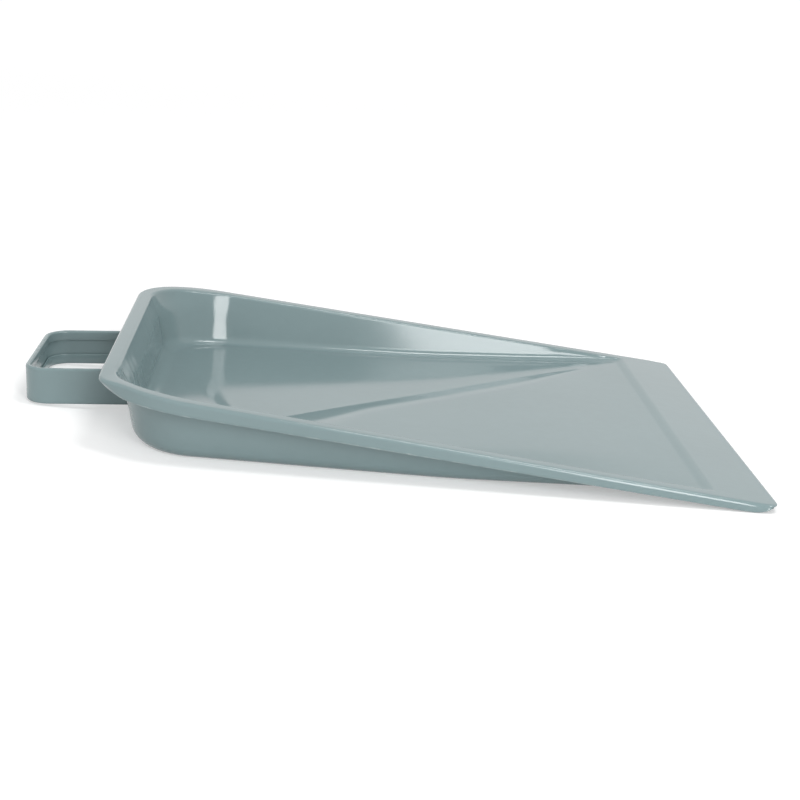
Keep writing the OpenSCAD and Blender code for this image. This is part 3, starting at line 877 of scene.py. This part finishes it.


# %% [markdown]
# The film is a stack of noises of different size. A broad one drifts the tone, a fine one breaks up
# the worn edges, whose lighter colour is partly wear and partly a painted highlight, a finer one is
# the orange-peel skin, and a stretched one gives thin scuffs. A twisted one dents the crumpled patch
# and paints a sheen on its raised facets in the same light colour. The group puts out a colour, a
# roughness and a height.

# %% Paint film group
NOISES = {"drift": (9.0, 3.0, 0.0), "fine": (160.0, 2.0, 0.0), "peel": (520.0, 1.0, 0.0),
          "scratch": (700.0, 2.0, 0.0), "dents": (260.0, 2.0, 1.2)}
# The edge threshold and steepness here set where the lighter colour shows: partly wear, partly a painted
# highlight.
DRIFT_TONE, FINE_TONE, RAGGED, WORN_GLINT_FROM, WORN_GLINT_STEEP = 0.14, 0.05, 0.5, 0.86, 4.0
SCRATCH_FROM, SCRATCH_STEEP, SCRATCH_DEPTH, WORN_ROUGH, DRIFT_ROUGH = 0.62, 5.0, 0.3, 0.25, 0.04
# After the dent depth come the threshold and steepness of the crumpled patch's painted sheen.
DENT_DEPTH, SHEEN_FROM, SHEEN_STEEP = 150.0, 0.4, 3.0


def centred(tree, noise):
    """A noise's value less one half, so that it varies about zero."""
    return math_node(tree, "SUBTRACT", noise.outputs["Fac"], 0.5)


def above(tree, value, start, steep, clamp=False):
    """How far a value lies over the start, times a steepness: 0 below the start."""
    over = math_node(tree, "SUBTRACT", value, start, clamp=True)
    return times(tree, over, steep, clamp=clamp)


def blended(tree, factor, a, b):
    """Colour a where the factor is 0 and colour b where it is 1."""
    mix = add_node(tree, "ShaderNodeMix", data_type="RGBA")
    for key, socket in (("Factor", factor), ("A", a), ("B", b)):
        tree.links.new(socket, mix.inputs[key])
    return mix.outputs["Result"]


def paint_film_group():
    """Group with two colours, two masks and three amounts going in, and Color, Roughness and Height
    out. Each noise has a scale, a detail and a twist. The tone is 1 plus the drift and the fine noise.
    The colour turns to the lighter one, partly wear and partly a painted highlight, where the edge value
    plus fine noise passes a threshold, and in the crumpled patch where the dent noise is high, as a
    painted sheen."""
    tree = bpy.data.node_groups.new("paint_film", "ShaderNodeTree")
    numbers = (("Edge", 0.0), ("Crumple", 0.0), ("Peel", 1.0), ("Scuff", 0.2), ("Gloss", 0.1))
    sockets = [("Paint", "INPUT", "NodeSocketColor", (0.2, 0.27, 0.27, 1)),
               ("Worn", "INPUT", "NodeSocketColor", (0.1, 0.12, 0.12, 1)),
               *[(name, "INPUT", "NodeSocketFloat", value) for name, value in numbers],
               ("Color", "OUTPUT", "NodeSocketColor", None),
               ("Roughness", "OUTPUT", "NodeSocketFloat", None),
               ("Height", "OUTPUT", "NodeSocketFloat", None)]
    for name, way, kind, value in sockets:
        socket = tree.interface.new_socket(name, in_out=way, socket_type=kind)
        if value is not None:
            socket.default_value = value
    into = tree.nodes.new("NodeGroupInput")
    out = tree.nodes.new("NodeGroupOutput")
    coords = tree.nodes.new("ShaderNodeTexCoord").outputs["Object"]
    stretch = add_node(tree, "ShaderNodeMapping", Scale=(0.07, 1.0, 1.0))
    drift, fine, peel, scratch, dents = (
        add_node(tree, "ShaderNodeTexNoise", Scale=scale, Detail=detail, Distortion=twist)
        for scale, detail, twist in NOISES.values())
    for node in (drift, fine, peel, stretch, dents):
        tree.links.new(coords, node.inputs["Vector"])
    tree.links.new(stretch.outputs[0], scratch.inputs["Vector"])
    fine_value = centred(tree, fine)
    tone = plus(tree, times(tree, centred(tree, drift), DRIFT_TONE), times(tree, fine_value, FINE_TONE))
    bright = tree.nodes.new("ShaderNodeHueSaturation")
    tree.links.new(plus(tree, tone, 1.0), bright.inputs["Value"])
    tree.links.new(into.outputs["Paint"], bright.inputs["Color"])
    # Worn edges: the lighter colour is partly wear and partly a painted highlight of light catching the
    # edge.
    ragged = plus(tree, into.outputs["Edge"], times(tree, fine_value, RAGGED))
    worn_and_glint = above(tree, ragged, WORN_GLINT_FROM, WORN_GLINT_STEEP, clamp=True)
    color = blended(tree, worn_and_glint, bright.outputs["Color"], into.outputs["Worn"])
    # Painted sheen: the crumpled patch's raised dent facets turn to the same light colour, standing in
    # for mirrored light.
    sheen_facets = above(tree, dents.outputs["Fac"], SHEEN_FROM, SHEEN_STEEP)
    painted_sheen = times(tree, sheen_facets, into.outputs["Crumple"], clamp=True)
    color = blended(tree, painted_sheen, color, into.outputs["Worn"])
    line = above(tree, scratch.outputs["Fac"], SCRATCH_FROM, SCRATCH_STEEP)
    scuffed = times(tree, line, into.outputs["Scuff"])
    rough = plus(tree, into.outputs["Gloss"], scuffed)
    rough = plus(tree, rough, times(tree, drift.outputs["Fac"], DRIFT_ROUGH))
    rough = plus(tree, rough, times(tree, worn_and_glint, WORN_ROUGH))
    bump = times(tree, centred(tree, peel), into.outputs["Peel"])
    bump = math_node(tree, "SUBTRACT", bump, times(tree, scuffed, SCRATCH_DEPTH))
    dented = times(tree, centred(tree, dents), into.outputs["Crumple"])
    bump = plus(tree, bump, times(tree, dented, DENT_DEPTH))
    tree.links.new(color, out.inputs["Color"])
    tree.links.new(rough, out.inputs["Roughness"])
    tree.links.new(bump, out.inputs["Height"])
    return tree


paint_film = paint_film_group()
print("paint film sockets:", [s.name for s in paint_film.interface.items_tree])

# %% [markdown]
# Three materials use the film. The pan is the glossiest and alone has the crumpled patch, with its
# dents and painted sheen. The handle is duller from many hands. The welds are bare grey metal with a
# coarse skin, hidden behind the wall.

# %% Materials
BUMP_STRENGTH, BUMP_DISTANCE, ENAMEL_IOR = 0.35, 0.00004, 1.5


def painted_steel(name, paint, worn_and_glint, peel, scuff, gloss, metallic=0.0, crumpled=False):
    """Principled shader fed by the paint film, with its masks read from the mesh's own values."""
    material = bpy.data.materials.new(name)
    material.use_nodes = True
    tree = material.node_tree
    shader = tree.nodes["Principled BSDF"]
    film = add_node(tree, "ShaderNodeGroup", node_tree=paint_film, Paint=(*paint, 1), Worn=(*worn_and_glint, 1),
                    Peel=peel, Scuff=scuff, Gloss=gloss)
    edge = add_node(tree, "ShaderNodeAttribute", attribute_name="edge")
    bump = add_node(tree, "ShaderNodeBump", Strength=BUMP_STRENGTH, Distance=BUMP_DISTANCE)
    tree.links.new(edge.outputs["Fac"], film.inputs["Edge"])
    if crumpled:
        patch = add_node(tree, "ShaderNodeAttribute", attribute_name="crumple")
        tree.links.new(patch.outputs["Fac"], film.inputs["Crumple"])
    tree.links.new(film.outputs["Color"], shader.inputs["Base Color"])
    tree.links.new(film.outputs["Roughness"], shader.inputs["Roughness"])
    tree.links.new(film.outputs["Height"], bump.inputs["Height"])
    tree.links.new(bump.outputs["Normal"], shader.inputs["Normal"])
    shader.inputs["Metallic"].default_value = metallic
    shader.inputs["IOR"].default_value = ENAMEL_IOR
    return material


# The second colour lightens cut edges, the strap's folds and the crumpled patch's facets: partly wear,
# partly painted highlight and painted sheen.
PAINT, WORN_AND_GLINT, BARE = (0.205, 0.283, 0.292), (0.36, 0.43, 0.43), (0.12, 0.14, 0.15)
pan.data.materials.append(painted_steel("pan_enamel", PAINT, WORN_AND_GLINT, 1.0, 0.05, 0.08, crumpled=True))
handle.data.materials.append(painted_steel("handle_enamel", PAINT, WORN_AND_GLINT, 1.0, 0.05, 0.2))
weld_metal = painted_steel("weld_metal", BARE, WORN_AND_GLINT, 3.0, 0.3, 0.4, metallic=0.6)
for name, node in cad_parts.items():
    if name.startswith("weld"):
        node.data.materials.clear()
        node.data.materials.append(weld_metal)
print("materials:", [m.name for m in bpy.data.materials])

# %% [markdown]
# ## Floor
# The photograph's ground is plain white. The floor is a pale matt plane, and where the camera or a
# reflection looks at it, a little glow lifts its lit part to white. The soft shadow stays, because
# the glow only adds to what the lamps leave. Further out the lamps reach the floor less, so the glow
# grows with the distance, and the floor stays white up to the horizon.

# %% Floor
FLOOR_HALF, FLOOR_GLOW, FAR_GLOW, FAR_FROM = 60.0, 0.36, 0.56, 3.0
FLOOR_COLOR = (0.74, 0.74, 0.74, 1)
floor_mesh = bpy.data.meshes.new("floor")
corners = FLOOR_HALF * np.array([[-1, -1, 0], [1, -1, 0], [1, 1, 0], [-1, 1, 0]])
floor_mesh.from_pydata(corners.tolist(), [], [(0, 1, 2, 3)])
floor = add_object("floor", floor_mesh)


def looked_at(tree):
    """1 for camera, glossy and transmission rays, 0 for rays that only carry light."""
    rays = tree.nodes.new("ShaderNodeLightPath")
    seen = math_node(tree, "MAXIMUM", rays.outputs["Is Camera Ray"], rays.outputs["Is Glossy Ray"])
    return math_node(tree, "MAXIMUM", seen, rays.outputs["Is Transmission Ray"])


floor_paper = bpy.data.materials.new("floor_paper")
floor_paper.use_nodes = True
paper = floor_paper.node_tree.nodes["Principled BSDF"]
paper.inputs["Base Color"].default_value = FLOOR_COLOR
paper.inputs["Roughness"].default_value = 1.0
paper.inputs["Specular IOR Level"].default_value = 0.0
paper.inputs["Emission Color"].default_value = (1, 1, 1, 1)
tree = floor_paper.node_tree
length = add_node(tree, "ShaderNodeVectorMath", operation="LENGTH")
tree.links.new(tree.nodes.new("ShaderNodeTexCoord").outputs["Object"], length.inputs[0])
away = math_node(tree, "DIVIDE", length.outputs["Value"], FAR_FROM, clamp=True)
level = plus(tree, times(tree, away, FAR_GLOW - FLOOR_GLOW), FLOOR_GLOW)
tree.links.new(times(tree, looked_at(tree), level), paper.inputs["Emission Strength"])
floor.data.materials.append(floor_paper)
print("floor half side, m:", FLOOR_HALF)

# %% [markdown]
# ## Surroundings
# Glossy paint shows what surrounds it. The studio is white all round, so the world is white to the
# camera, nearly white in reflections, and dimmer where it only gives light. That light is weaker from
# the pan's front, because faces that look to the front are darker in the photograph.

# %% World
AMBIENT, MIRRORED, FRONT_FALL = 0.62, 0.95, 0.6
world = bpy.data.worlds.new("studio")
scene.world = world
world.use_nodes = True
tree = world.node_tree
tree.nodes.clear()
rays = tree.nodes.new("ShaderNodeLightPath")
split = tree.nodes.new("ShaderNodeSeparateXYZ")
tree.links.new(tree.nodes.new("ShaderNodeTexCoord").outputs["Generated"], split.inputs[0])
from_front = times(tree, split.outputs["X"], -AMBIENT * FRONT_FALL)
lighting = plus(tree, from_front, AMBIENT)
straight = math_node(tree, "MAXIMUM", rays.outputs["Is Camera Ray"], rays.outputs["Is Transmission Ray"])
shown = plus(tree, times(tree, rays.outputs["Is Glossy Ray"], MIRRORED), straight)
unseen = math_node(tree, "SUBTRACT", 1.0, looked_at(tree))
level = plus(tree, times(tree, lighting, unseen), shown)
background = add_node(tree, "ShaderNodeBackground", Color=(1, 1, 1, 1))
tree.links.new(level, background.inputs["Strength"])
world_out = tree.nodes.new("ShaderNodeOutputWorld")
tree.links.new(background.outputs[0], world_out.inputs["Surface"])
print("ambient level:", AMBIENT)

# %% [markdown]
# ## Lamps
# The bright strip in the left back corner and the bright front half of the left wall mirror one tall
# soft window beside the camera, towards the pan's front. Its bearing follows from the strip and its
# height from the strip's image on the floor. The upper part is dimmer. A lamp overhead lights the floor
# of the pan.

# %% Softboxes
WINDOW_X, WINDOW_Y, WINDOW_W, WINDOW_SPLIT, WINDOW_TOP = 0.495, -1.55, 0.36, 0.98, 1.52
LOW_RADIANCE, HIGH_RADIANCE, OVERHEAD_RADIANCE = 10.0, 8.0, 11.5


def softbox(name, place, aim, width, height, radiance):
    """A rectangular area light of that radiance: its power is radiance times area times pi."""
    data = bpy.data.lights.new(name, "AREA")
    data.shape = "RECTANGLE"
    data.size, data.size_y = width, height
    data.energy = radiance * width * height * np.pi
    light = add_object(name, data)
    away = Vector(place) - Vector(aim)
    light.matrix_world = Matrix.Translation(place) @ away.to_track_quat("Z", "Y").to_matrix().to_4x4()
    light.visible_camera = False


def window_part(name, low, high, radiance):
    """The window from one height to another, facing level towards the model's middle."""
    middle = (low + high) / 2
    softbox(name, (WINDOW_X, WINDOW_Y, middle), (0.0, 0.0, middle), WINDOW_W, high - low, radiance)


window_part("window_low", 0.0, WINDOW_SPLIT, LOW_RADIANCE)
window_part("window_high", WINDOW_SPLIT, WINDOW_TOP, HIGH_RADIANCE)
softbox("overhead", (0.42, -0.15, 1.7), (0.0, 0.0, 0.0), 0.4, 0.6, OVERHEAD_RADIANCE)

# %% [markdown]
# ## Finish
# The plain view transform shows each colour about as it is written.

# %% Finish
scene.view_settings.view_transform = "Standard"
